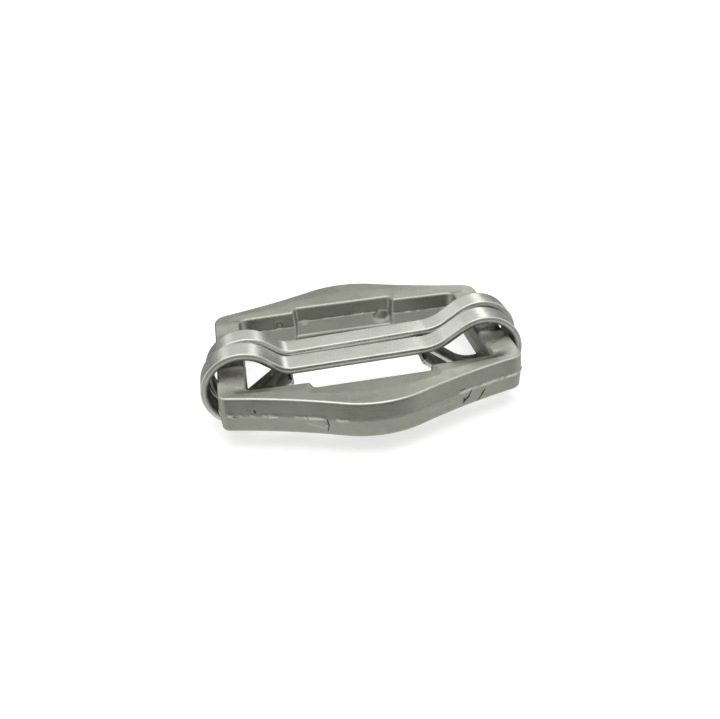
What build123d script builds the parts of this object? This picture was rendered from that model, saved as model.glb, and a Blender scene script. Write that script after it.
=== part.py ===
from build123d import *
import os
from math import cos, radians, sin, tan

# Buckle slider for 30 mm webbing. Millimetres, +Z up, +X along the webbing's width.
# Origin: centre of the frame's opening, on the casting's parting plane.

# ---- cast frame, in plan (sizes on the parting plane) ----
HALF_LENGTH = 19.85
HUMP_PEAK_Y = 17.15
HUMP_RADIUS = 12.5
HUMP_HALF_ANGLE = 23.6
FLANK_RADIUS = 83.0
END_CORNER_RADIUS = 1.3
OPENING_HALF_LENGTH = 16.05
OPENING_HALF_DEPTH = 9.35
OPENING_SHOULDER_DEPTH = 9.6
RECESS_LEFT = -7.8
REAR_RECESS_RIGHT = 6.65
FRONT_RECESS_RIGHT = 7.4
RECESS_HALF_DEPTH = 10.9
RECESS_FLANK_RUN = 0.45
FRONT_OPENING_RADIUS = 0.6
REAR_OPENING_RADIUS = 1.2
RECESS_CORNER_RADIUS = 0.35

# ---- cast frame, heights ----
BAR_TOP = 2.4
BAR_BOTTOM = -2.55
RAIL_TOP = 1.95
RAIL_BOTTOM = -1.95
DRAFT = 3.0
RAIL_HALF_DEPTH = 8.9
RAIL_OVERLAP = 0.3
RAIL_DRAFT = 0.11
RAIL_LOWER_RADIUS = 0.9
RIM_RADIUS = 0.28
FLASH_REACH = 0.15
FLASH_THICKNESS = 0.16

# ---- bent strips ----
FRONT_STRIP_WIDTH = 3.3
REAR_STRIP_WIDTH = 3.0
STRIP_THICKNESS = 1.0
STRIP_CHAMFER = 0.13
EYE_RADIUS = 5.5
EYE_SPACING = 32.5
FRONT_MIDDLE_TOP = 2.36
REAR_MIDDLE_TOP = 2.65
LEFT_RAMP_ANGLE = 39.0
RIGHT_RAMP_ANGLE = 32.0
LEFT_BEND_RADIUS = 3.2
RIGHT_BEND_RADIUS = 6.0
LEFT_TAIL_ANGLE = 35.0
LEFT_TAIL_OFFSET = 3.5
LEFT_TAIL_TIP = 9.7
RIGHT_TAIL_ANGLE = 39.0
RIGHT_TAIL_OFFSET = 5.0
RIGHT_TAIL_TIP = 8.0
TAIL_BEND_RADIUS = 1.8

# ---- where the strips lie ----
STRIP_Z = 0.32
STRIP_TILT = 0.8
FRONT_STRIP_X = -0.38
FRONT_STRIP_Y = -4.85
REAR_STRIP_X = 0.35
REAR_STRIP_Y = -0.85
REAR_STRIP_YAW = 1.4


def rounded(points, radii):
    """Closed outline through points, with a corner radius at each (0 keeps it sharp)."""
    outline = Polyline(*points, close=True)
    face = make_face(outline)
    for (x, y), radius in zip(points, radii):
        if radius > 0:
            corner = face.vertices().sort_by_distance((x, y, 0))[0]
            face = fillet(corner, radius)
    return face


def hump_end():
    """Point where the rounded peak passes into the hollow flank."""
    angle = radians(HUMP_HALF_ANGLE)
    x = HUMP_RADIUS * sin(angle)
    y = HUMP_PEAK_Y - HUMP_RADIUS * (1 - cos(angle))
    return x, y


def flank_y(x):
    """Depth of the hollow flank, an arc that leaves the peak without a kink."""
    start_x, start_y = hump_end()
    angle = radians(HUMP_HALF_ANGLE)
    centre_x = start_x + FLANK_RADIUS * sin(angle)
    centre_y = start_y + FLANK_RADIUS * cos(angle)
    return centre_y - (FLANK_RADIUS**2 - (centre_x - x) ** 2) ** 0.5


def outer_face(grow=0.0):
    """Hexagon-like outline of the whole frame, symmetric front to back and end to end, or grown all round."""
    x1, y1 = hump_end()
    x3 = HALF_LENGTH
    x2 = (x1 + x3) / 2
    y2 = flank_y(x2)
    y3 = flank_y(x3)
    edges = []
    for side in (1, -1):
        edges.append(ThreePointArc((-x1, side * y1), (0, side * HUMP_PEAK_Y), (x1, side * y1)))
        edges.append(ThreePointArc((x1, side * y1), (x2, side * y2), (x3, side * y3)))
        edges.append(ThreePointArc((-x1, side * y1), (-x2, side * y2), (-x3, side * y3)))
        edges.append(Line((side * x3, -y3), (side * x3, y3)))
    face = make_face(edges)
    corners = [v for v in face.vertices() if abs(abs(v.X) - x3) < 0.01]
    face = fillet(corners, END_CORNER_RADIUS)
    if grow:
        face = offset(face, amount=grow)
    return face


def opening_face():
    """Opening with a deeper recess in the middle of both bars."""
    half_run = RECESS_FLANK_RUN / 2
    points = []
    radii = []
    sides = (
        (1, REAR_RECESS_RIGHT, REAR_OPENING_RADIUS),
        (-1, FRONT_RECESS_RIGHT, FRONT_OPENING_RADIUS),
    )
    for side, recess_right, corner_radius in sides:
        edge = [
            (OPENING_HALF_LENGTH, side * OPENING_HALF_DEPTH),
            (recess_right + half_run, side * OPENING_SHOULDER_DEPTH),
            (recess_right - half_run, side * RECESS_HALF_DEPTH),
            (RECESS_LEFT + half_run, side * RECESS_HALF_DEPTH),
            (RECESS_LEFT - half_run, side * OPENING_SHOULDER_DEPTH),
            (-OPENING_HALF_LENGTH, side * OPENING_HALF_DEPTH),
        ]
        points += edge[::side]
        radii += [corner_radius] + 4 * [RECESS_CORNER_RADIUS] + [corner_radius]
    return rounded(points, radii)


def drafted(sketch, taper):
    """Outline extruded below and above the parting plane with the same draft."""
    face = sketch.face()
    if face.normal_at().Z > 0:
        face = -face
    lower = extrude(face, amount=-BAR_BOTTOM, taper=taper)
    upper = extrude(face, amount=BAR_TOP, taper=taper)
    return lower + mirror(upper, about=Plane.XY)


def wall_rims(solid, height):
    """Edges where the drafted walls meet the flat face at this height."""
    return solid.edges().filter_by(lambda e: abs(e.center().Z - height) < 0.01)


def bars():
    """Front and rear bar with rounded rims, the casting without its side rails."""
    ring = drafted(outer_face(), DRAFT) - drafted(opening_face(), -DRAFT)
    ring = fillet(wall_rims(ring, BAR_TOP), RIM_RADIUS)
    ring = fillet(wall_rims(ring, BAR_BOTTOM), RIM_RADIUS)
    return ring - Box(3 * HALF_LENGTH, 2 * RAIL_HALF_DEPTH, 6 * BAR_TOP)


def rail(side):
    """Side rail, lower than the bars and rounded where the strips' eyes pass round it."""
    inner = OPENING_HALF_LENGTH
    outer = HALF_LENGTH
    points = [
        (inner, 0),
        (inner + RAIL_DRAFT, RAIL_TOP),
        (outer - RAIL_DRAFT, RAIL_TOP),
        (outer, 0),
        (outer - RAIL_DRAFT, RAIL_BOTTOM),
        (inner + RAIL_DRAFT, RAIL_BOTTOM),
    ]
    radii = [0, RIM_RADIUS, RIM_RADIUS, 0, RAIL_LOWER_RADIUS, RIM_RADIUS]
    section = rounded(points, radii).face()
    length = RAIL_HALF_DEPTH + RAIL_OVERLAP
    solid = extrude(Plane.XZ * section, amount=length, both=True)
    if side < 0:
        solid = mirror(solid, about=Plane.YZ)
    return solid


def parting_flash():
    """Thin line of flash that stands out of the bars' outer walls, trimmed off the rails."""
    outside = extrude(outer_face(FLASH_REACH), amount=FLASH_THICKNESS / 2, both=True)
    inside = extrude(outer_face(-0.5), amount=FLASH_THICKNESS, both=True)
    rails = Box(3 * HALF_LENGTH, 2 * RAIL_HALF_DEPTH, 1)
    return outside - inside - rails


def cast_frame():
    return bars() + rail(1) + rail(-1) + parting_flash()


def tail_points(angle, offset, tip):
    """Bend and straight tail of the right eye, measured from its centre.

    The tail's centre line runs at offset from the eye's centre and ends tip before it. Returns the
    bend's start on the eye, its middle, its end and the tail's tip.
    """
    radius = EYE_RADIUS - STRIP_THICKNESS / 2
    rise = radians(angle)
    below = Vector(-sin(rise), 0, -cos(rise))
    back = Vector(cos(rise), 0, -sin(rise))
    inset = offset - TAIL_BEND_RADIUS
    reach = max((radius - TAIL_BEND_RADIUS) ** 2 - inset**2, 0) ** 0.5
    centre = below * inset + back * reach
    start = centre.normalized() * radius
    end = centre + below * TAIL_BEND_RADIUS
    middle = centre + (centre.normalized() + below).normalized() * TAIL_BEND_RADIUS
    length = (end.X + tip) / cos(rise)
    return start, middle, end, end - back * length


def strip_path(middle_top):
    """Centre line of a strip in the XZ plane, from one tail end to the other."""
    radius = EYE_RADIUS - STRIP_THICKNESS / 2
    middle_z = middle_top - STRIP_THICKNESS / 2
    eye_x = EYE_SPACING / 2
    ramps = {
        -1: (radians(LEFT_RAMP_ANGLE), LEFT_BEND_RADIUS),
        1: (radians(RIGHT_RAMP_ANGLE), RIGHT_BEND_RADIUS),
    }
    tails = {
        -1: (LEFT_TAIL_ANGLE, LEFT_TAIL_OFFSET, eye_x - LEFT_TAIL_TIP),
        1: (RIGHT_TAIL_ANGLE, RIGHT_TAIL_OFFSET, eye_x - RIGHT_TAIL_TIP),
    }
    edges = []
    flat_ends = []
    for side in (-1, 1):
        ramp, bend_radius = ramps[side]
        top_x = eye_x - radius * sin(ramp)
        top_z = radius * cos(ramp)
        corner_x = top_x - (top_z - middle_z) / tan(ramp)
        setback = bend_radius * tan(ramp / 2)
        half = ramp / 2
        bend_rise = bend_radius * (1 - cos(half))
        flat_end = (side * (corner_x - setback), 0, middle_z)
        bend_middle = (side * (corner_x - setback + bend_radius * sin(half)), 0, middle_z + bend_rise)
        ramp_start = (side * (corner_x + setback * cos(ramp)), 0, middle_z + setback * sin(ramp))
        ramp_end = (side * top_x, 0, top_z)
        outermost = (side * (eye_x + radius), 0, 0)
        bend = [(side * (eye_x + p.X), 0, p.Z) for p in tail_points(*tails[side])]
        edges.append(ThreePointArc(flat_end, bend_middle, ramp_start))
        edges.append(Line(ramp_start, ramp_end))
        edges.append(ThreePointArc(ramp_end, outermost, bend[0]))
        if tails[side][1] < radius:
            edges.append(ThreePointArc(bend[0], bend[1], bend[2]))
        edges.append(Line(bend[2], bend[3]))
        flat_ends.append(flat_end)
    edges.append(Line(flat_ends[0], flat_ends[1]))
    return Wire(edges)


def bent_strip(middle_top, width):
    """Flat strip with broken corners, swept along its centre line."""
    path = strip_path(middle_top)
    start = Plane(origin=path @ 0, x_dir=(0, 1, 0), z_dir=path % 0)
    section = start * chamfer(
        Rectangle(width, STRIP_THICKNESS).vertices(), STRIP_CHAMFER
    )
    return sweep(section, path=path, transition=Transition.RIGHT)


def front_strip():
    place = Pos(FRONT_STRIP_X, FRONT_STRIP_Y, STRIP_Z)
    return place * (Rot(0, -STRIP_TILT, 0) * bent_strip(FRONT_MIDDLE_TOP, FRONT_STRIP_WIDTH))


def rear_strip():
    place = Pos(REAR_STRIP_X, REAR_STRIP_Y, STRIP_Z) * Rot(0, 0, REAR_STRIP_YAW)
    return place * (Rot(0, -STRIP_TILT, 0) * bent_strip(REAR_MIDDLE_TOP, REAR_STRIP_WIDTH))


os.makedirs("parts", exist_ok=True)
export_step(cast_frame(), "parts/cast_frame.step")
export_step(front_strip(), "parts/front_strip.step")
export_step(rear_strip(), "parts/rear_strip.step")
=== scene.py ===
from math import atan2, cos, pi, radians, sin, tan

import bmesh
import bpy
import numpy as np
from mathutils import Matrix, Vector, noise


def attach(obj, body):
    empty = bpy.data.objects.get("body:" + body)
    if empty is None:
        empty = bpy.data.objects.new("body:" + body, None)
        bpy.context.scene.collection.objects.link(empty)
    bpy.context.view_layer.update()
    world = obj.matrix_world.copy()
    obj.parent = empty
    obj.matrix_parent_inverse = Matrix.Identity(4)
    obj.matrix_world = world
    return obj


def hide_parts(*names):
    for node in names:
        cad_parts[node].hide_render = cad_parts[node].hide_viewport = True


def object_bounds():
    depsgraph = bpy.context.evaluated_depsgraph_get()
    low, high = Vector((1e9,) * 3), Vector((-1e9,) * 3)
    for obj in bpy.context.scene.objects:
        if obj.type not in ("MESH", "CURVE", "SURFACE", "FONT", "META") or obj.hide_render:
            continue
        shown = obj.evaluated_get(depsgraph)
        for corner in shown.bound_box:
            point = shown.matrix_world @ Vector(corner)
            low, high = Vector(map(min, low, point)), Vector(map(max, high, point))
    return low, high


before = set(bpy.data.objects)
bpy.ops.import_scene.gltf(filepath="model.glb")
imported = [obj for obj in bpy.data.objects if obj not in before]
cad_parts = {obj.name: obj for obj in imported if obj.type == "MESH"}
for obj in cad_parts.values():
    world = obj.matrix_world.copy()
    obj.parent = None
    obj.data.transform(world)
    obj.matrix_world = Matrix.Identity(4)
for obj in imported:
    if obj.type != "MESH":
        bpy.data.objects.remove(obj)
cad_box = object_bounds()

MM = 0.001

# ---- cast frame as in the CAD, in millimetres ----
HALF_LENGTH = 19.85
HUMP_PEAK_Y = 17.15
HUMP_RADIUS = 12.5
HUMP_HALF_ANGLE = 23.6
FLANK_RADIUS = 83.0
END_CORNER_RADIUS = 1.3
OPENING_HALF_LENGTH = 16.05
OPENING_HALF_DEPTH = 9.35
OPENING_SHOULDER_DEPTH = 9.6
RECESS_LEFT = 7.8
REAR_RECESS_RIGHT = 6.65
FRONT_RECESS_RIGHT = 7.4
RECESS_HALF_DEPTH = 10.9
RECESS_FLANK_RUN = 0.45
FRONT_OPENING_RADIUS = 0.6
REAR_OPENING_RADIUS = 1.2
RECESS_FAR_RADIUS = 0.35
RECESS_NEAR_RADIUS = 0.6
BAR_TOP = 2.4
BAR_BOTTOM = 2.55
RAIL_HALF_HEIGHT = 1.95
RAIL_HALF_DEPTH = 8.9
STEP_RUN = 0.22
DRAFT = radians(3.0)
OUTER_RIM = 0.34
INNER_RIM = 0.48
LOWER_RIM = 0.28
RAIL_LOWER_RIM = 0.9
INNER_DROP = 0.16

# ---- cast frame where its looks go beyond the CAD ----
REAR_CORNER_RADIUS = 2.2
FRONT_RIGHT_CORNER_RADIUS = 1.8
INNER_DRAFT = radians(5.0)
RIGHT_STEP_POINT = (17.04, -6.96)
RIGHT_STEP_SLOPE = 0.665
RIGHT_STEP_INNER_X = 15.6
LEFT_STEP_POINT = (-18.96, -7.3)
LEFT_STEP_SLOPE = -0.613
LEFT_STEP_INNER_X = -15.9
REAR_RISE_START = 6.0
FRONT_FLASH_REACH = 0.19
REAR_FLASH_REACH = 0.12
INNER_FLASH_REACH = 0.06
FLASH_WANDER = 0.05
OUTER_FLASH_ROOT = 0.13
INNER_FLASH_ROOT = 0.07

# Lumps as centre, radii and height; a positive height stands out along -Y.
REAR_WALL_LUMP = ((5.35, 10.85, -0.95), (1.45, 1.2, 1.35), 0.50)
REAR_WALL_PIMPLE = ((-6.57, 10.85, -0.14), (0.7, 0.8, 0.5), 0.10)
FRONT_RECESS_BURR = ((-7.95, -9.75, 2.25), (0.6, 0.6, 0.6), -0.16)

# ---- bent strips as in the CAD ----
STRIP_HALF_THICKNESS = 0.5
EYE_RADIUS = 5.5
EYE_SPACING = 32.5
FRONT_MIDDLE_TOP = 2.36
REAR_MIDDLE_TOP = 2.65
LEFT_RAMP = radians(39.0)
RIGHT_RAMP = radians(32.0)
LEFT_BEND_RADIUS = 3.2
RIGHT_BEND_RADIUS = 6.0
LEFT_TAIL = (radians(35.0), 3.5, 9.7)
RIGHT_TAIL = (radians(39.0), 5.0, 8.0)
TAIL_BEND_RADIUS = 1.8
STRIP_Z = 0.32
STRIP_TILT = radians(0.8)
FRONT_HALF_WIDTH = 1.65
REAR_HALF_WIDTH = 1.5
FRONT_STRIP_X = -0.38
FRONT_STRIP_Y = -4.85
REAR_STRIP_X = 0.35
REAR_STRIP_Y = -0.85
REAR_STRIP_YAW = radians(1.4)

# ---- bent strips where their looks go beyond the CAD ----
STRIP_SHRINK = 0.003
STRIP_UNEVENNESS = 0.012
STRIP_END_SCALES = [(0.0, 0.55), (0.06, 0.80), (0.14, 0.92), (0.28, 1.0)]
MIDDLE_STEP = 0.3
PATH_STEP = 0.14


# ------------------------------------------------------------------ outlines

def line_points(start, end, step):
    """Points from start towards end, without end."""
    start = np.array(start, float)
    end = np.array(end, float)
    count = max(2, int(np.ceil(np.linalg.norm(end - start) / step)))
    return [start + (end - start) * i / count for i in range(count)]


def corner_points(before, corner, after, radius, count):
    """Points on the arc that rounds a corner, both ends included."""
    before, corner, after = (np.array(p, float) for p in (before, corner, after))
    a = (before - corner) / np.linalg.norm(before - corner)
    b = (after - corner) / np.linalg.norm(after - corner)
    half = np.arccos(np.clip(a @ b, -1, 1)) / 2
    reach = radius / tan(half)
    middle = (a + b) / np.linalg.norm(a + b)
    centre = corner + middle * radius / sin(half)
    start = corner + a * reach - centre
    end = corner + b * reach - centre
    turn = atan2(start[0] * end[1] - start[1] * end[0], start @ end)
    points = []
    for i in range(count + 1):
        angle = turn * i / count
        c, s = cos(angle), sin(angle)
        points.append(centre + np.array([c * start[0] - s * start[1], s * start[0] + c * start[1]]))
    return points


def outer_depth(x):
    """Depth of the frame's outer edge at x, for x from 0 to the end corner."""
    angle = radians(HUMP_HALF_ANGLE)
    start_x = HUMP_RADIUS * sin(angle)
    if x < start_x:
        return HUMP_PEAK_Y - HUMP_RADIUS + (HUMP_RADIUS**2 - x**2) ** 0.5
    start_y = HUMP_PEAK_Y - HUMP_RADIUS * (1 - cos(angle))
    centre_x = start_x + FLANK_RADIUS * sin(angle)
    centre_y = start_y + FLANK_RADIUS * cos(angle)
    return centre_y - (FLANK_RADIUS**2 - (centre_x - x) ** 2) ** 0.5


def quarter_outlines(recess_end, opening_radius, corner_radius):
    """Matching points on the opening and the outer edge, from a bar's middle to a rail's middle."""
    half_run = RECESS_FLANK_RUN / 2
    recess_start = (0.0, RECESS_HALF_DEPTH)
    far = (recess_end - half_run, RECESS_HALF_DEPTH)
    near = (recess_end + half_run, OPENING_SHOULDER_DEPTH)
    end = (OPENING_HALF_LENGTH, OPENING_HALF_DEPTH)
    rail_middle = (OPENING_HALF_LENGTH, 0.0)
    far_arc = corner_points(recess_start, far, near, RECESS_FAR_RADIUS, 6)
    near_arc = corner_points(far, near, end, RECESS_NEAR_RADIUS, 7)
    end_arc = corner_points(near, end, rail_middle, opening_radius, 22)
    arc_y = end_arc[-1][1]
    end_arc = [p for p in end_arc if p[1] > RAIL_HALF_DEPTH + STEP_RUN]
    bar = line_points(recess_start, far_arc[0], 0.16) + far_arc
    bar += line_points(far_arc[-1], near_arc[0], 0.12)[1:] + near_arc
    bar += line_points(near_arc[-1], end_arc[0], 0.16)[1:]

    corner = (HALF_LENGTH, outer_depth(HALF_LENGTH))
    slope = outer_depth(HALF_LENGTH) - outer_depth(HALF_LENGTH - 0.5)
    inward = (HALF_LENGTH - 0.5, corner[1] - slope)
    outer_arc = corner_points(inward, corner, (HALF_LENGTH, 0.0), corner_radius, len(end_arc) - 1)
    scale = outer_arc[0][0] / end_arc[0][0]
    inner = list(bar)
    outer = [np.array([p[0] * scale, outer_depth(p[0] * scale)]) for p in bar]
    inner += end_arc
    outer += outer_arc

    step_top = RAIL_HALF_DEPTH + STEP_RUN
    depths = list(np.linspace(step_top, RAIL_HALF_DEPTH - STEP_RUN, 9))
    depths += list(np.linspace(RAIL_HALF_DEPTH - STEP_RUN, 0.0, 70))[1:]
    for y in depths:
        x = OPENING_HALF_LENGTH
        if y > arc_y:
            x += (opening_radius**2 - (y - arc_y) ** 2) ** 0.5 - opening_radius
        inner.append(np.array([x, y]))
        outer.append(np.array([HALF_LENGTH, y]))
    return np.array(inner), np.array(outer)


def frame_loops():
    """The opening's loop and the outer edge's loop, clockwise seen from above, from four quarters."""
    back_right = quarter_outlines(REAR_RECESS_RIGHT, REAR_OPENING_RADIUS, REAR_CORNER_RADIUS)
    front_right = quarter_outlines(FRONT_RECESS_RIGHT, FRONT_OPENING_RADIUS, FRONT_RIGHT_CORNER_RADIUS)
    front_left = quarter_outlines(RECESS_LEFT, FRONT_OPENING_RADIUS, END_CORNER_RADIUS)
    back_left = quarter_outlines(RECESS_LEFT, REAR_OPENING_RADIUS, REAR_CORNER_RADIUS)
    loops = []
    for i in (0, 1):
        loops.append(np.concatenate([
            back_right[i],
            front_right[i][::-1][1:] * (1, -1),
            front_left[i][1:] * (-1, -1),
            back_left[i][::-1][1:-1] * (-1, 1),
        ]))
    return loops


def left_normals(loop):
    """Unit normals on the outer side of a clockwise loop."""
    along = np.roll(loop, -1, 0) - np.roll(loop, 1, 0)
    normals = np.stack([-along[:, 1], along[:, 0]], 1)
    return normals / np.linalg.norm(normals, axis=1, keepdims=True)


def wave(points, size, seed):
    """Smooth random value from about -1 to 1 at each point, with bumps of the given size in mm."""
    offset = Vector((seed * 13.7, seed * -7.3, seed * 3.1))
    return np.array([noise.noise(Vector(p) / size + offset) for p in points])


def smooth(value, low, high):
    """0 below low, 1 above high and an even curve between them."""
    t = np.clip((value - low) / (high - low), 0, 1)
    return t * t * (3 - 2 * t)


# ------------------------------------------------------------------ cast frame

OUTER_WALL_ROWS = 12
OUTER_RIM_ANGLES = (12, 24, 36, 48, 60, 72, 82)
TOP_FACE_PARTS = (0, 0.04, 0.1, 0.17, 0.24, 0.31, 0.38, 0.43, 0.47, 0.5,
                  0.53, 0.57, 0.62, 0.69, 0.76, 0.83, 0.9, 0.96, 1)
INNER_RIM_ANGLES = (78, 66, 54, 42, 30, 18, 6)
INNER_WALL_ROWS = 11


def raised_part(points):
    """1 on the raised bars and 0 on the lower rails, for the top face, whose front steps run aslant."""
    x, y = points[..., 0], points[..., 1]
    right_run = np.maximum(x, RIGHT_STEP_INNER_X) - RIGHT_STEP_POINT[0]
    left_run = np.minimum(x, LEFT_STEP_INNER_X) - LEFT_STEP_POINT[0]
    right_step = RIGHT_STEP_POINT[1] + RIGHT_STEP_SLOPE * right_run
    left_step = LEFT_STEP_POINT[1] + LEFT_STEP_SLOPE * left_run
    front_step = np.where(x > 0, right_step, left_step)
    front = smooth(front_step - y, -STEP_RUN, STEP_RUN)
    rear = smooth(y, REAR_RISE_START, RAIL_HALF_DEPTH)
    return np.maximum(front, rear)


def frame_section(outer, outward, inner, inward, top):
    """Half of the frame's section at every station, from the outer parting line to the inner one."""
    depth = np.abs(outer[:, 1])
    bar = smooth(depth, RAIL_HALF_DEPTH - STEP_RUN, RAIL_HALF_DEPTH + STEP_RUN)
    if top:
        height = np.full(len(outer), BAR_TOP)
        outer_rim = np.full(len(outer), OUTER_RIM)
        inner_rim = LOWER_RIM + (INNER_RIM - LOWER_RIM) * bar
        drop = INNER_DROP * (0.35 + 0.65 * bar)
    else:
        height = RAIL_HALF_HEIGHT + (BAR_BOTTOM - RAIL_HALF_HEIGHT) * bar
        outer_rim = RAIL_LOWER_RIM + (LOWER_RIM - RAIL_LOWER_RIM) * bar
        inner_rim = np.full(len(outer), LOWER_RIM)
        drop = np.zeros(len(outer))
    rows = []

    def add(plan, z):
        rows.append(np.concatenate([plan, z[:, None]], 1))

    outer_wall = height - outer_rim
    for part in np.linspace(0, 1, OUTER_WALL_ROWS + 1)[1:]:
        z = OUTER_FLASH_ROOT + (outer_wall - OUTER_FLASH_ROOT) * part
        add(outer - outward * (z * tan(DRAFT))[:, None], z)
    centre = outer - outward * (outer_wall * tan(DRAFT) + outer_rim)[:, None]
    for angle in np.radians(OUTER_RIM_ANGLES):
        add(centre + outward * (outer_rim * cos(angle))[:, None], outer_wall + outer_rim * sin(angle))
    inner_wall = height - drop - inner_rim
    far_centre = inner - inward * (inner_wall * tan(INNER_DRAFT) + inner_rim)[:, None]
    for part in TOP_FACE_PARTS:
        fall = 2 * max(part - 0.5, 0) * 0.86 + 0.14 * part**4
        add(centre + (far_centre - centre) * part, height - drop * fall)
    for angle in np.radians(INNER_RIM_ANGLES):
        add(far_centre + inward * (inner_rim * cos(angle))[:, None], inner_wall + inner_rim * sin(angle))
    for part in np.linspace(1, 0, INNER_WALL_ROWS):
        z = INNER_FLASH_ROOT + (inner_wall - INNER_FLASH_ROOT) * part
        add(inner - inward * (z * tan(INNER_DRAFT))[:, None], z)
    rows = np.array(rows)
    if top:
        lowering = (BAR_TOP - RAIL_HALF_HEIGHT) * (1 - raised_part(rows))
        rows[:, :, 2] -= lowering * np.clip((rows[:, :, 2] - 0.3) / (BAR_TOP - 0.6), 0, 1)
    else:
        rows[:, :, 2] *= -1
        rows = rows[::-1]
    return rows


def push(points, centre, radii, height):
    """Push points along -Y near a centre, most in the middle; a negative height pushes along +Y."""
    distance = np.linalg.norm((points - np.array(centre)) / np.array(radii), axis=-1)
    points[..., 1] -= height * smooth(-distance, -1.0, -0.35)


def parting_line(loop):
    """The loop's points at the height of the parting line."""
    return np.concatenate([loop, np.zeros((len(loop), 1))], 1)


def outer_flash(outer, outward, on_bar):
    """Ragged edge along the outer parting line, and how far it stands out at every station."""
    line = parting_line(outer)
    x = outer[:, 0]
    front = outer[:, 1] < 0
    left_end = smooth(-x, 3.5, 5.0)
    right_end = smooth(x, 9.5, 11.0)
    front_patches = np.maximum(left_end * smooth(wave(line, 1.7, 9), -0.45, -0.10), right_end)
    patches = np.where(front, front_patches, smooth(wave(line, 6.0, 3), -0.25, 0.15))
    ragged = 0.5 + 0.9 * wave(line, 1.1, 1) + 0.5 * wave(line, 0.35, 2)
    ragged = np.where(front, ragged + 0.25 * right_end, ragged)
    longest = np.where(front, FRONT_FLASH_REACH, REAR_FLASH_REACH)
    reach = np.clip(ragged, 0.03, 1) * patches * longest * on_bar
    height = FLASH_WANDER * wave(line, 1.6, 4) * on_bar
    return np.concatenate([outer + outward * reach[:, None], height[:, None]], 1), reach


def inner_flash(inner, inward):
    """Low ragged edge along the opening's parting line."""
    line = parting_line(inner)
    ragged = 0.5 + 0.9 * wave(line, 0.9, 5) + 0.4 * wave(line, 0.3, 6)
    reach = np.clip(ragged, 0.15, 1) * INNER_FLASH_REACH
    height = FLASH_WANDER * wave(line, 1.4, 7)
    return np.concatenate([inner + inward * reach[:, None], height[:, None]], 1)


def add_lumps(rings):
    """Move the points where the casting is lumpy: twice on the rear recess wall, once in front."""
    lumpy = rings.copy()
    push(lumpy, *REAR_WALL_LUMP)
    rough = 0.75 + 1.0 * wave(rings.reshape(-1, 3), 0.8, 8).reshape(rings.shape[:2])
    rings += (lumpy - rings) * np.clip(rough, 0, 1)[:, :, None]
    push(rings, *REAR_WALL_PIMPLE)
    push(rings, *FRONT_RECESS_BURR)


def casting_flash_and_painted_light(rings, reach, on_bar, line):
    """For each point of the casting, how much its flash, its painted shade under the strips, its matte
    lighter patch and its painted rim highlight show.
    """
    points = rings.reshape(-1, 3)
    y = points[:, 1]
    on_rail = smooth(np.abs(points[:, 0]), OPENING_HALF_LENGTH - 0.1, OPENING_HALF_LENGTH + 0.05)
    on_rail_top = on_rail * smooth(points[:, 2], 1.2, 1.6)
    edge = 0.35 * wave(points * (1, 0, 0), 1.5, 12)
    # under_strips marks the rail tops below the strips at rest, where the material paints shade.
    under_strips = smooth(y + edge, -3.5, -2.9) * smooth(-y + edge, -1.3, 0.2)
    # beside_strips marks the rail tops in front of the strips, which are made matte and painted lighter.
    beside_strips = smooth(-y - edge, 3.0, 4.2) * smooth(y, -11.2, -7.6)
    flash = np.zeros(rings.shape[:2])
    flash[-1] = np.clip(reach / REAR_FLASH_REACH, 0, 1)
    # Painted highlight: a light band along the rounded outer top rim of the bars, with a little noise in
    # its strength.
    painted_rim_highlight = np.zeros(rings.shape[:2])
    first_row = OUTER_WALL_ROWS + 2
    rim_highlight_strength = on_bar * np.clip(0.8 + 0.5 * wave(line, 2.5, 14), 0, 1)
    painted_rim_highlight[first_row:first_row + 4] = np.outer((0.5, 1.0, 1.0, 0.5), rim_highlight_strength)
    return {
        "flash": flash.reshape(-1),
        "painted_shade_under_strips": on_rail_top * under_strips,
        "matte_lit_patch": on_rail_top * beside_strips,
        "painted_rim_highlight": painted_rim_highlight.reshape(-1),
    }


def casting_mesh():
    """Points and faces of the casting, and the values of its flash and painted light point by point."""
    inner, outer = frame_loops()
    outward = left_normals(outer)
    inward = -left_normals(inner)
    upper = frame_section(outer, outward, inner, inward, True)
    lower = frame_section(outer, outward, inner, inward, False)
    on_bar = smooth(np.abs(outer[:, 1]), RAIL_HALF_DEPTH + 0.1, RAIL_HALF_DEPTH + 0.6)
    outer_edge, reach = outer_flash(outer, outward, on_bar)
    inner_edge = inner_flash(inner, inward)
    rings = np.concatenate([upper, inner_edge[None], lower, outer_edge[None]])
    add_lumps(rings)
    count, stations = rings.shape[:2]
    faces = []
    for i in range(count):
        a = i * stations
        b = (i + 1) % count * stations
        for j in range(stations):
            k = (j + 1) % stations
            faces.append((a + j, a + k, b + k, b + j))
    return rings.reshape(-1, 3), faces, casting_flash_and_painted_light(rings, reach, on_bar, parting_line(outer))


# ------------------------------------------------------------------ strips

def tail_points(angle, offset, tip):
    """Bend and straight tail below an eye: its start angle, its points and its outer normals."""
    radius = EYE_RADIUS - STRIP_HALF_THICKNESS
    below = np.array([-sin(angle), -cos(angle)])
    back = np.array([cos(angle), -sin(angle)])
    inset = offset - TAIL_BEND_RADIUS
    reach = max((radius - TAIL_BEND_RADIUS) ** 2 - inset**2, 0) ** 0.5
    centre = below * inset + back * reach
    first = atan2(centre[1], centre[0])
    last = atan2(below[1], below[0])
    points, normals = [], []
    count = int(np.ceil(TAIL_BEND_RADIUS * (first - last) / (0.7 * PATH_STEP)))
    for i in range(count):
        turn = first + (last - first) * i / count
        normal = np.array([cos(turn), sin(turn)])
        points.append(centre + normal * TAIL_BEND_RADIUS)
        normals.append(tuple(normal))
    low = centre + below * TAIL_BEND_RADIUS
    end = low - back * (low[0] + tip) / cos(angle)
    tail = line_points(low, end, PATH_STEP) + [end]
    return first, points + tail, normals + [tuple(below)] * len(tail)


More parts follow.
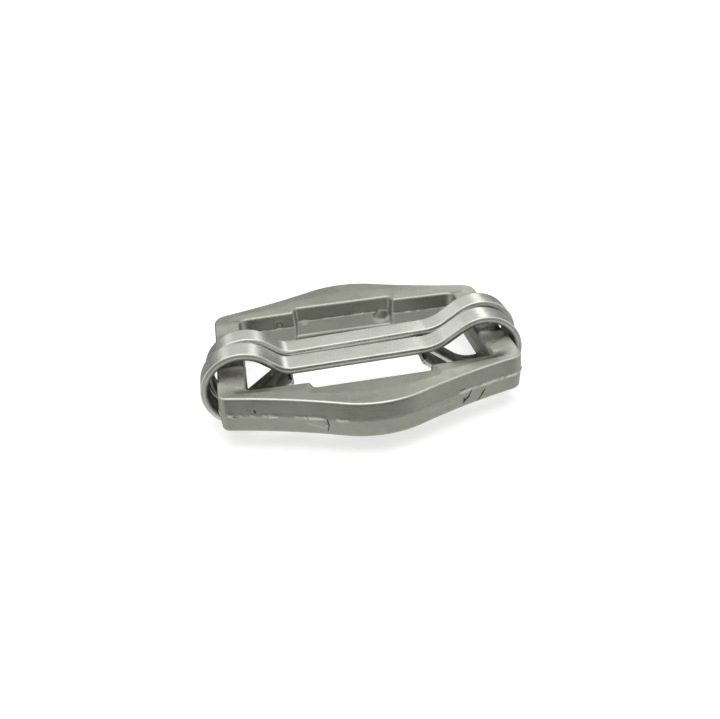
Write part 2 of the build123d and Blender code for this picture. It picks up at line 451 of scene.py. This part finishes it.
def strip_path(middle_top):
    """A strip's centre line in its XZ plane and its outer normals, from left tail to right tail."""
    radius = EYE_RADIUS - STRIP_HALF_THICKNESS
    middle_z = middle_top - STRIP_HALF_THICKNESS
    eye_x = EYE_SPACING / 2

    def half(ramp, bend_radius, angle, offset, tip):
        """From the middle out to the right tail's end."""
        top_x = eye_x - radius * sin(ramp)
        top_z = radius * cos(ramp)
        corner_x = top_x - (top_z - middle_z) / tan(ramp)
        setback = bend_radius * tan(ramp / 2)
        points = line_points((0, middle_z), (corner_x - setback, middle_z), MIDDLE_STEP)
        normals = [(0.0, 1.0)] * len(points)
        count = int(bend_radius * ramp / PATH_STEP)
        for i in range(count):
            turn = ramp * i / count
            x = corner_x - setback + bend_radius * sin(turn)
            points.append(np.array([x, middle_z + bend_radius * (1 - cos(turn))]))
            normals.append((-sin(turn), cos(turn)))
        ramp_x = corner_x + setback * cos(ramp)
        ramp_z = middle_z + setback * sin(ramp)
        slope = line_points((ramp_x, ramp_z), (top_x, top_z), PATH_STEP)
        points += slope
        normals += [(-sin(ramp), cos(ramp))] * len(slope)
        last, tail, tail_normals = tail_points(angle, offset, eye_x - tip)
        first = pi / 2 + ramp
        count = int(radius * (first - last) / PATH_STEP)
        for i in range(count):
            turn = first + (last - first) * i / count
            points.append(np.array([eye_x + radius * cos(turn), radius * sin(turn)]))
            normals.append((cos(turn), sin(turn)))
        points += [p + np.array([eye_x, 0]) for p in tail]
        normals += tail_normals
        return np.array(points), np.array(normals)

    right, right_normals = half(RIGHT_RAMP, RIGHT_BEND_RADIUS, *RIGHT_TAIL)
    left, left_side_normals = half(LEFT_RAMP, LEFT_BEND_RADIUS, *LEFT_TAIL)
    flip = np.array([-1, 1])
    points = np.concatenate([(left * flip)[::-1][:-1], right])
    normals = np.concatenate([(left_side_normals * flip)[::-1][:-1], right_normals])
    return points, normals


def strip_section(half_width):
    """Closed outline of a strip's section: flat faces, broken corners and a low ridge on each side."""
    top = STRIP_HALF_THICKNESS
    corners = [
        ((half_width - 0.13, top), 0.08),
        ((half_width - 0.035, 0.38), 0.06),
        ((half_width - 0.022, 0.03), 0.02),
    ]
    ridge = (half_width, 0.0)
    quarter = [(0.0, top)]
    quarter += [tuple(p) for p in line_points((0.15, top), (half_width - 0.3, top - 0.002), 0.15)]
    previous = (0.0, top)
    following = [corner for corner, _ in corners[1:]] + [ridge]
    for (corner, radius), after in zip(corners, following):
        quarter += [tuple(p) for p in corner_points(previous, corner, after, radius, 4)]
        previous = corner
    quarter.append(ridge)
    quarter = np.array(quarter)
    lower_right = quarter[::-1][1:] * (1, -1)
    lower_left = quarter[1:] * (-1, -1)
    upper_left = quarter[::-1][1:-1] * (-1, 1)
    return np.concatenate([quarter, lower_right, lower_left, upper_left])


def strip_mesh(middle_top, half_width, seed):
    """Swept strip; also returns 1 on its inner side and 0 outside, point by point, for the painted shade
    of the inner faces.
    """
    path, normals = strip_path(middle_top)
    section = strip_section(half_width)
    end_distances, end_scales = zip(*STRIP_END_SCALES)
    length = np.concatenate([[0], np.cumsum(np.linalg.norm(np.diff(path, axis=0), axis=1))])
    rings = []
    inside_shade = []
    for i, (point, normal) in enumerate(zip(path, normals)):
        from_end = min(length[i], length[-1] - length[i])
        scale = np.interp(from_end, end_distances, end_scales)
        uneven = STRIP_UNEVENNESS * noise.noise(Vector((length[i] / 4.0, seed * 5.0, 0.0)))
        u = section[:, 0] * (1 - (1 - scale) * 0.3 - abs(uneven))
        v = section[:, 1] * scale * (1 - STRIP_SHRINK / STRIP_HALF_THICKNESS - 2 * abs(uneven))
        rings.append(np.stack([point[0] + normal[0] * v, u, point[1] + normal[1] * v], 1))
        inside_shade.append(smooth(-section[:, 1], 0.0, 0.2))
    rings = np.array(rings)
    count, around = rings.shape[:2]
    points = rings.reshape(-1, 3)
    faces = []
    for i in range(count - 1):
        a = i * around
        b = a + around
        for j in range(around):
            k = (j + 1) % around
            faces.append((a + j, a + k, b + k, b + j))
    faces.append(tuple(range(around))[::-1])
    faces.append(tuple(range((count - 1) * around, count * around)))
    return points, faces, np.concatenate(inside_shade)


# ------------------------------------------------------------------ objects

def add_piece(name, points, faces, body, node, material, place=Matrix.Identity(4)):
    """Mesh given in millimetres, put in its place and tied to its body, node and material slot."""
    mesh = bpy.data.meshes.new(name)
    mesh.from_pydata([tuple(p) for p in points], [], faces)
    mesh.transform(Matrix.Scale(MM, 4) @ place)
    mesh.validate()
    mesh.update()
    piece = bpy.data.objects.new(name, mesh)
    bpy.context.scene.collection.objects.link(piece)
    bm = bmesh.new()
    bm.from_mesh(mesh)
    bmesh.ops.recalc_face_normals(bm, faces=bm.faces)
    bm.to_mesh(mesh)
    bm.free()
    mesh.shade_smooth()
    mesh.set_sharp_from_angle(angle=radians(42))
    mesh.materials.append(material)
    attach(piece, body)
    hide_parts(node)
    return piece


def add_values(piece, name, values):
    attribute = piece.data.attributes.new(name, "FLOAT", "POINT")
    attribute.data.foreach_set("value", values)


# ------------------------------------------------------------------ materials

CASTING_COLOR = (0.44, 0.445, 0.385)
CRACK_COLOR = (0.07, 0.07, 0.06)
SEAM_COLOR = (0.30, 0.30, 0.27)
FLASH_COLOR = (0.80, 0.80, 0.73)
# Painted shade on the rail tops below the strips.
UNDER_STRIP_SHADE_COLOR = (0.035, 0.035, 0.03)
# Painted highlight along the bars' outer top rim.
RIM_HIGHLIGHT_COLOR = (0.90, 0.905, 0.83)
# Matte finish and painted light: a lighter tone for the rail tops in front of the strips.
MATTE_LIT_COLOR = (0.52, 0.525, 0.46)
STRIP_COLOR = (0.87, 0.875, 0.80)
# Painted shade of the strips' inner faces.
STRIP_INSIDE_SHADE_COLOR = (0.055, 0.055, 0.045)
STRIP_RUB_COLOR = (0.95, 0.955, 0.89)

# Marks on the front wall in millimetres, each from one point to another and with its width.
FRONT_WALL_CRACKS = [
    ((-6.88, 0, -0.10), (-6.75, 0, -0.95), 0.08),
    ((-6.75, 0, -0.95), (-6.86, 0, -1.84), 0.06),
    ((11.97, 0, -0.34), (11.62, 0, -1.15), 0.09),
    ((11.62, 0, -1.15), (10.95, 0, -1.55), 0.16),
    ((10.98, 0, -1.15), (10.91, 0, -1.80), 0.11),
    ((13.97, 0, -0.95), (13.05, 0, -2.35), 0.09),
    ((-15.52, 0, 0.74), (-15.40, 0, 0.36), 0.12),
    ((-16.44, 0, 0.71), (-16.02, 0, 0.66), 0.06),
    ((-18.17, 0, -0.22), (-17.9, 0, -0.3), 0.06),
    ((10.3, 0, 0.30), (11.1, 0, 0.34), 0.04),
]
RIGHT_WORN_PATCH = ((6.6, 0, -0.2), (8.9, 0, -0.3))
LEFT_WORN_PATCH = ((-8.9, 0, -0.55), (-7.4, 0, -0.95))
RING_MARK = ((-10.41, 9.5, 0.63), (-10.41, 9.6, 0.63))
RING_MARK_RADIUS = 0.42
FRONT_WALL_LIMITS = (-0.0111, -0.0109)


class Graph:
    """Short ways of adding nodes to one material."""

    def __init__(self, name):
        self.material = bpy.data.materials.new(name)
        self.material.use_nodes = True
        self.tree = self.material.node_tree
        self.shader = self.tree.nodes["Principled BSDF"]
        self.place = self.add("ShaderNodeTexCoord").outputs["Object"]

    def add(self, kind, **settings):
        node = self.tree.nodes.new(kind)
        for key, value in settings.items():
            setattr(node, key, value)
        return node

    def feed(self, socket, value):
        """Link a socket or set a constant."""
        if isinstance(value, bpy.types.NodeSocket):
            self.tree.links.new(value, socket)
        else:
            socket.default_value = value

    def point_value(self, name):
        """A value stored with the mesh's points."""
        return self.add("ShaderNodeAttribute", attribute_name=name).outputs["Fac"]

    def noise(self, size_mm, detail=2.0, stretch=(1, 1, 1), rough=0.5):
        """Noise from 0 to 1 with features of the given size, stretched along the axes."""
        scale = self.add("ShaderNodeVectorMath", operation="MULTIPLY_ADD")
        self.feed(scale.inputs[0], self.place)
        scale.inputs[1].default_value = [1 / (MM * size_mm * s) for s in stretch]
        scale.inputs[2].default_value = (17.37, 41.61, 29.43)
        node = self.add("ShaderNodeTexNoise")
        self.feed(node.inputs["Vector"], scale.outputs[0])
        node.inputs["Scale"].default_value = 1.0
        node.inputs["Detail"].default_value = detail
        node.inputs["Roughness"].default_value = rough
        return node.outputs["Fac"]

    def remap(self, value, low, high, to_low, to_high):
        """Smooth step from one range to another, clamped at both ends."""
        node = self.add("ShaderNodeMapRange", interpolation_type="SMOOTHSTEP")
        for socket, number in zip(("Value", "From Min", "From Max", "To Min", "To Max"),
                                  (value, low, high, to_low, to_high)):
            self.feed(node.inputs[socket], number)
        return node.outputs[0]

    def math(self, operation, first, second=0.0):
        """Sum, product or the like of two values, or the size of one."""
        node = self.add("ShaderNodeMath", operation=operation)
        self.feed(node.inputs[0], first)
        self.feed(node.inputs[1], second)
        return node.outputs[0]

    def mix(self, factor, first, second):
        """Blend of two colours."""
        node = self.add("ShaderNodeMix", data_type="RGBA")
        self.feed(node.inputs["Factor"], factor)
        colours = [s for s in node.inputs if s.type == "RGBA"]
        for socket, value in zip(colours, (first, second)):
            self.feed(socket, value if isinstance(value, bpy.types.NodeSocket) else (*value, 1))
        return next(s for s in node.outputs if s.type == "RGBA")

    def bump(self, height, depth_mm):
        """Normal of a surface raised by the given height times the depth."""
        node = self.add("ShaderNodeBump")
        node.inputs["Strength"].default_value = 1.0
        node.inputs["Distance"].default_value = depth_mm * MM
        self.feed(node.inputs["Height"], height)
        return node.outputs[0]

    def wobbled(self, size_mm, reach_mm):
        """Surface position shaken by noise, so that marks do not run dead straight."""
        scale = self.add("ShaderNodeVectorMath", operation="SCALE")
        self.feed(scale.inputs[0], self.place)
        scale.inputs["Scale"].default_value = 1 / (MM * size_mm)
        node = self.add("ShaderNodeTexNoise")
        self.feed(node.inputs["Vector"], scale.outputs[0])
        node.inputs["Scale"].default_value = 1.0
        node.inputs["Detail"].default_value = 2.0
        centred = self.add("ShaderNodeVectorMath", operation="SUBTRACT")
        self.feed(centred.inputs[0], node.outputs["Color"])
        centred.inputs[1].default_value = (0.5, 0.5, 0.5)
        added = self.add("ShaderNodeVectorMath", operation="MULTIPLY_ADD")
        self.feed(added.inputs[0], centred.outputs[0])
        added.inputs[1].default_value = [2 * reach_mm * MM] * 3
        self.feed(added.inputs[2], self.place)
        return added.outputs[0]

    def seen_from_front(self, position):
        """The position with its depth taken out."""
        node = self.add("ShaderNodeVectorMath", operation="MULTIPLY")
        self.feed(node.inputs[0], position)
        node.inputs[1].default_value = (1, 0, 1)
        return node.outputs[0]

    def from_segment(self, position, start, end):
        """Distance in mm from the segment between two points given in mm."""
        start = Vector(start) * MM
        along = Vector(end) * MM - start
        offset = self.add("ShaderNodeVectorMath", operation="SUBTRACT")
        self.feed(offset.inputs[0], position)
        offset.inputs[1].default_value = start
        share = self.add("ShaderNodeVectorMath", operation="DOT_PRODUCT")
        self.feed(share.inputs[0], offset.outputs[0])
        share.inputs[1].default_value = along / max(along.length_squared, 1e-12)
        part = self.add("ShaderNodeClamp")
        self.feed(part.inputs["Value"], share.outputs["Value"])
        foot = self.add("ShaderNodeVectorMath", operation="SCALE")
        foot.inputs[0].default_value = along
        self.feed(foot.inputs["Scale"], part.outputs[0])
        gap = self.add("ShaderNodeVectorMath", operation="DISTANCE")
        self.feed(gap.inputs[0], offset.outputs[0])
        self.feed(gap.inputs[1], foot.outputs[0])
        return self.math("MULTIPLY", gap.outputs["Value"], 1 / MM)


def metal_surface(graph, color, roughness, grain_stretch, grain_depth, mottle):
    """Plated metal: mottled tone, fine grain along one direction, uneven gloss and faint scratches."""
    clouds = graph.noise(5.0, 3.0)
    fine_clouds = graph.noise(0.9, 3.0)
    grain = graph.noise(0.11, 2.0, grain_stretch, 0.6)
    speckle = graph.noise(0.22, 1.0)
    hairs = graph.noise(0.10, 0.0, (60, 1.0, 1.0))
    cross_hairs = graph.noise(0.11, 0.0, (1.6, 40, 1.6))
    hair = graph.math("MAXIMUM", graph.remap(hairs, 0.66, 0.78, 0.0, 1.0),
                      graph.remap(cross_hairs, 0.70, 0.80, 0.0, 1.0))
    low = tuple(c * (1 - mottle) for c in color)
    high = tuple(min(c * (1 + mottle), 1) for c in color)
    dull = tuple(c * f for c, f in zip(color, (0.86, 0.86, 0.82)))
    bright = tuple(min(c * 1.12, 1) for c in color)
    scuffed = tuple(min(c * 1.25, 1) for c in color)
    tone = graph.mix(graph.remap(clouds, 0.3, 0.7, 0.0, 1.0), low, high)
    tone = graph.mix(graph.remap(fine_clouds, 0.52, 0.78, 0.0, 0.45), tone, dull)
    tone = graph.mix(graph.remap(grain, 0.4, 0.75, 0.0, 0.5), tone, bright)
    tone = graph.mix(graph.math("MULTIPLY", hair, 0.35), tone, scuffed)
    gloss = graph.math("ADD", graph.remap(clouds, 0.3, 0.7, roughness - 0.03, roughness + 0.04),
                       graph.remap(grain, 0.3, 0.7, -0.03, 0.05))
    gloss = graph.math("ADD", gloss, graph.remap(fine_clouds, 0.45, 0.75, 0.0, 0.06))
    height = graph.math("ADD", graph.math("MULTIPLY", grain, grain_depth),
                        graph.math("MULTIPLY", speckle, grain_depth / 3))
    height = graph.math("ADD", height, graph.math("MULTIPLY", fine_clouds, 0.003))
    return tone, gloss, height


def crack_marks(graph, shaken, wall_place, on_front):
    """1 in the cracks of the front wall, less in the ring mark of the rear recess wall, 0 elsewhere."""
    cracks = 0.0
    for start, end, width in FRONT_WALL_CRACKS:
        distance = graph.from_segment(wall_place, start, end)
        near = graph.remap(distance, width * 0.35, width * 1.5, 1.0, 0.0)
        cracks = graph.math("MAXIMUM", near, cracks)
    cracks = graph.math("MULTIPLY", cracks, on_front)
    from_ring = graph.math("SUBTRACT", graph.from_segment(shaken, *RING_MARK), RING_MARK_RADIUS)
    ring = graph.remap(graph.math("ABSOLUTE", from_ring), 0.04, 0.24, 0.65, 0.0)
    return graph.math("MAXIMUM", cracks, ring)


def casting_material():
    graph = Graph("satin_casting")
    tone, gloss, height = metal_surface(graph, CASTING_COLOR, 0.30, (12, 12, 1), 0.0014, 0.06)
    split = graph.add("ShaderNodeSeparateXYZ")
    graph.feed(split.inputs[0], graph.place)
    on_front = graph.remap(split.outputs["Y"], *FRONT_WALL_LIMITS, 1.0, 0.0)
    shaken = graph.wobbled(0.5, 0.10)
    wall_place = graph.seen_from_front(shaken)

    cracks = crack_marks(graph, shaken, wall_place, on_front)
    tone = graph.mix(cracks, tone, CRACK_COLOR)
    gloss = graph.math("ADD", gloss, graph.math("MULTIPLY", cracks, 0.25))
    height = graph.math("SUBTRACT", height, graph.math("MULTIPLY", cracks, 0.08))

    right_worn = graph.remap(graph.from_segment(wall_place, *RIGHT_WORN_PATCH), 0.5, 1.2, 1.0, 0.0)
    left_worn = graph.remap(graph.from_segment(wall_place, *LEFT_WORN_PATCH), 0.2, 0.7, 1.0, 0.0)
    worn = graph.math("MULTIPLY", graph.math("MAXIMUM", right_worn, left_worn), on_front)
    worn = graph.math("MULTIPLY", worn, graph.noise(0.45, 3.0))
    height = graph.math("ADD", height, graph.math("MULTIPLY", worn, 0.05))
    height = graph.math("ADD", height, graph.math("MULTIPLY", graph.noise(3.2, 1.0), 0.035))

    seam_wander = graph.remap(graph.noise(0.7, 3.0), 0.2, 0.8, -0.22, 0.22)
    from_seam = graph.math("ADD", graph.math("MULTIPLY", split.outputs["Z"], 1 / MM), seam_wander)
    seam = graph.remap(graph.math("ABSOLUTE", from_seam), 0.03, 0.16, 0.30, 0.0)
    tone = graph.mix(seam, tone, SEAM_COLOR)
    tone = graph.mix(graph.remap(graph.point_value("flash"), 0.15, 0.7, 0.0, 0.85), tone, FLASH_COLOR)
    # Painted shade: the rail tops below the strips are darkened almost to black, with a little noise.
    under_strip_shade_noise = graph.remap(graph.noise(0.9, 3.0), 0.25, 0.7, 0.75, 1.0)
    tone = graph.mix(graph.math("MULTIPLY", graph.point_value("painted_shade_under_strips"), under_strip_shade_noise), tone, UNDER_STRIP_SHADE_COLOR)
    # Painted highlight along the bars' outer top rim.
    tone = graph.mix(graph.math("MULTIPLY", graph.point_value("painted_rim_highlight"), 0.75), tone, RIM_HIGHLIGHT_COLOR)
    # Matte finish with painted light: the rail tops in front of the strips get a lighter, less metallic
    # tone.
    matte_lit_patch = graph.point_value("matte_lit_patch")
    tone = graph.mix(matte_lit_patch, tone, MATTE_LIT_COLOR)

    graph.feed(graph.shader.inputs["Metallic"], graph.remap(matte_lit_patch, 0.0, 1.0, 0.95, 0.35))
    graph.feed(graph.shader.inputs["Base Color"], tone)
    graph.feed(graph.shader.inputs["Roughness"], gloss)
    graph.feed(graph.shader.inputs["Normal"], graph.bump(height, 1.0))
    return graph.material


def strip_material():
    graph = Graph("bright_strip")
    tone, gloss, height = metal_surface(graph, STRIP_COLOR, 0.25, (30, 1, 30), 0.0004, 0.03)
    inside_shade = graph.point_value("inside_shade")
    # Painted shade: the strips' inner faces are darkened almost to black, with a little noise.
    inside_shade_noise = graph.remap(graph.noise(1.6, 4.0), 0.25, 0.75, 0.75, 1.0)
    tone = graph.mix(graph.math("MULTIPLY", inside_shade, inside_shade_noise), tone, STRIP_INSIDE_SHADE_COLOR)
    gloss = graph.math("ADD", gloss, graph.math("MULTIPLY", inside_shade, 0.16))
    rub_marks = graph.remap(graph.noise(0.8), 0.62, 0.74, 0.0, 0.30)
    tone = graph.mix(rub_marks, tone, STRIP_RUB_COLOR)
    height = graph.math("ADD", height, graph.math("MULTIPLY", graph.noise(2.2, 1.0), 0.012))
    graph.feed(graph.shader.inputs["Base Color"], tone)
    graph.feed(graph.shader.inputs["Roughness"], gloss)
    graph.shader.inputs["Metallic"].default_value = 1.0
    graph.feed(graph.shader.inputs["Normal"], graph.bump(height, 1.0))
    return graph.material


# ------------------------------------------------------------------ pieces

def strip_place(x, y, yaw):
    return (
        Matrix.Translation((x, y, STRIP_Z))
        @ Matrix.Rotation(yaw, 4, "Z")
        @ Matrix.Rotation(-STRIP_TILT, 4, "Y")
    )


def add_casting():
    points, faces, wear = casting_mesh()
    piece = add_piece("frame_casting", points, faces, "frame", "cast_frame",
                      casting_material())
    for name, values in wear.items():
        add_values(piece, name, values)


def add_strip(name, body, node, middle_top, half_width, place, seed, material):
    points, faces, inside_shade = strip_mesh(middle_top, half_width, seed)
    piece = add_piece(name, points, faces, body, node, material, place)
    add_values(piece, "inside_shade", inside_shade)


strip_metal = strip_material()
add_casting()
add_strip("front_bent_strip", "front_strip_body", "front_strip", FRONT_MIDDLE_TOP, FRONT_HALF_WIDTH,
          strip_place(FRONT_STRIP_X, FRONT_STRIP_Y, 0.0), 1, strip_metal)
add_strip("rear_bent_strip", "rear_strip_body", "rear_strip", REAR_MIDDLE_TOP, REAR_HALF_WIDTH,
          strip_place(REAR_STRIP_X, REAR_STRIP_Y, REAR_STRIP_YAW), 2, strip_metal)


# ------------------------------------------------------------------ floor, light, camera

FLOOR_HALF_SIZE = 3.0
FLOOR_PALE = (0.49, 0.49, 0.485)
FLOOR_PALER = (0.51, 0.51, 0.505)
FLOOR_SHADE = (0.14, 0.14, 0.135)
FLOOR_GLOW = 0.62

# Brightness of the surroundings by height above the horizon in degrees.
WORLD_LEVELS = [(-90, 0.85), (-50, 0.90), (-42, 0.68), (-34, 0.34), (-24, 0.22),
                (0, 0.16), (22, 0.42), (40, 0.70), (62, 0.90), (90, 0.85)]
WORLD_SIDE_LEVEL = 0.62

CAMERA_POSITION = (-0.01383, -0.09042, 0.05327)
CAMERA_RIGHT = (0.9817, -0.1823, -0.0541)
CAMERA_UP = (0.1397, 0.4977, 0.8560)
CAMERA_LENS = 37.71


def add_floor():
    """Pale glowing floor with the contact shade below the rear bar."""
    half = FLOOR_HALF_SIZE
    z = cad_box[0][2]
    mesh = bpy.data.meshes.new("studio_floor")
    corners = [(-half, -half, z), (half, -half, z), (half, half, z), (-half, half, z)]
    mesh.from_pydata(corners, [], [(0, 1, 2, 3)])
    floor = bpy.data.objects.new("studio_floor", mesh)
    bpy.context.scene.collection.objects.link(floor)
    graph = Graph("studio_floor")
    shader = graph.shader
    split = graph.add("ShaderNodeSeparateXYZ")
    graph.feed(split.inputs[0], graph.place)
    across = graph.remap(graph.math("ABSOLUTE", split.outputs["X"]), 0.010, 0.019, 1.0, 0.0)
    from_front = graph.remap(split.outputs["Y"], 0.0095, 0.0125, 0.0, 1.0)
    from_back = graph.remap(split.outputs["Y"], 0.0145, 0.0175, 1.0, 0.0)
    covered = graph.math("MULTIPLY", across, graph.math("MULTIPLY", from_front, from_back))
    paper = graph.noise(0.8, 4.0)
    pale = graph.mix(graph.remap(paper, 0.3, 0.7, 0.0, 1.0), FLOOR_PALE, FLOOR_PALER)
    graph.feed(shader.inputs["Base Color"], graph.mix(covered, pale, FLOOR_SHADE))
    graph.feed(shader.inputs["Normal"], graph.bump(paper, 0.01))
    shader.inputs["Emission Color"].default_value = (1.0, 1.0, 0.995, 1)
    graph.feed(shader.inputs["Emission Strength"], graph.remap(covered, 0.0, 1.0, FLOOR_GLOW, 0.0))
    shader.inputs["Roughness"].default_value = 0.9
    shader.inputs["Specular IOR Level"].default_value = 0.0
    mesh.materials.append(graph.material)
    floor.visible_glossy = False


def add_softbox(name, position, width, depth, power):
    """Rectangular area light turned to the object, unseen by the camera."""
    data = bpy.data.lights.new(name, "AREA")
    data.shape = "RECTANGLE"
    data.size = width
    data.size_y = depth
    data.energy = power
    light = bpy.data.objects.new(name, data)
    light.location = position
    light.rotation_euler = (-Vector(position)).to_track_quat("-Z", "Y").to_euler()
    light.visible_camera = False
    bpy.context.scene.collection.objects.link(light)
    return light


def add_camera():
    data = bpy.data.cameras.new("camera")
    data.lens = CAMERA_LENS
    data.sensor_width = 36.0
    data.clip_start = 0.001
    data.dof.use_dof = False
    camera = bpy.data.objects.new("camera", data)
    right = Vector(CAMERA_RIGHT)
    back = right.cross(Vector(CAMERA_UP)).normalized()
    up = back.cross(right).normalized()
    matrix = Matrix((right.normalized(), up, back)).transposed().to_4x4()
    matrix.translation = Vector(CAMERA_POSITION)
    camera.matrix_world = matrix
    bpy.context.scene.collection.objects.link(camera)
    bpy.context.scene.camera = camera


def studio_grey(level):
    return (level * 0.995, level, level * 0.985, 1)


def add_world():
    """Studio surroundings: brightness by height, with brighter walls left and right."""
    world = bpy.data.worlds.new("studio")
    world.use_nodes = True
    nodes, links = world.node_tree.nodes, world.node_tree.links
    direction = nodes.new("ShaderNodeTexCoord")
    split = nodes.new("ShaderNodeSeparateXYZ")
    scaled = nodes.new("ShaderNodeMapRange")
    scaled.inputs["From Min"].default_value = -1
    ramp = nodes.new("ShaderNodeValToRGB")
    ramp.color_ramp.interpolation = "EASE"
    elements = ramp.color_ramp.elements
    elements.remove(elements[-1])
    for i, (elevation, level) in enumerate(WORLD_LEVELS):
        place = (sin(radians(elevation)) + 1) / 2
        element = elements[0] if i == 0 else elements.new(place)
        element.position = place
        element.color = studio_grey(level)
    links.new(direction.outputs["Generated"], split.inputs[0])
    links.new(split.outputs["Z"], scaled.inputs["Value"])
    links.new(scaled.outputs[0], ramp.inputs[0])
    sideways = nodes.new("ShaderNodeMath")
    sideways.operation = "ABSOLUTE"
    links.new(split.outputs["X"], sideways.inputs[0])
    wall = nodes.new("ShaderNodeMapRange")
    wall.interpolation_type = "SMOOTHSTEP"
    wall.inputs["From Min"].default_value = 0.50
    wall.inputs["From Max"].default_value = 0.85
    links.new(sideways.outputs[0], wall.inputs["Value"])
    lit = nodes.new("ShaderNodeMix")
    lit.data_type = "RGBA"
    links.new(wall.outputs[0], lit.inputs["Factor"])
    colours = [socket for socket in lit.inputs if socket.type == "RGBA"]
    links.new(ramp.outputs[0], colours[0])
    colours[1].default_value = studio_grey(WORLD_SIDE_LEVEL)
    blended = next(socket for socket in lit.outputs if socket.type == "RGBA")
    links.new(blended, nodes["Background"].inputs["Color"])
    bpy.context.scene.world = world


add_floor()
add_world()
add_softbox("top_softbox", (0.0, -0.06, 0.42), 0.36, 0.30, 0.34)
add_softbox("right_window", (0.17, 0.42, 0.25), 0.10, 0.16, 0.05)
add_softbox("left_window", (-0.20, 0.42, 0.24), 0.10, 0.16, 0.025)
floor_key = add_softbox("floor_key", (0.05, 0.10, 0.70), 0.9, 0.9, 3.2)
floor_key.visible_glossy = False
bpy.context.scene.view_settings.view_transform = "Standard"
add_camera()
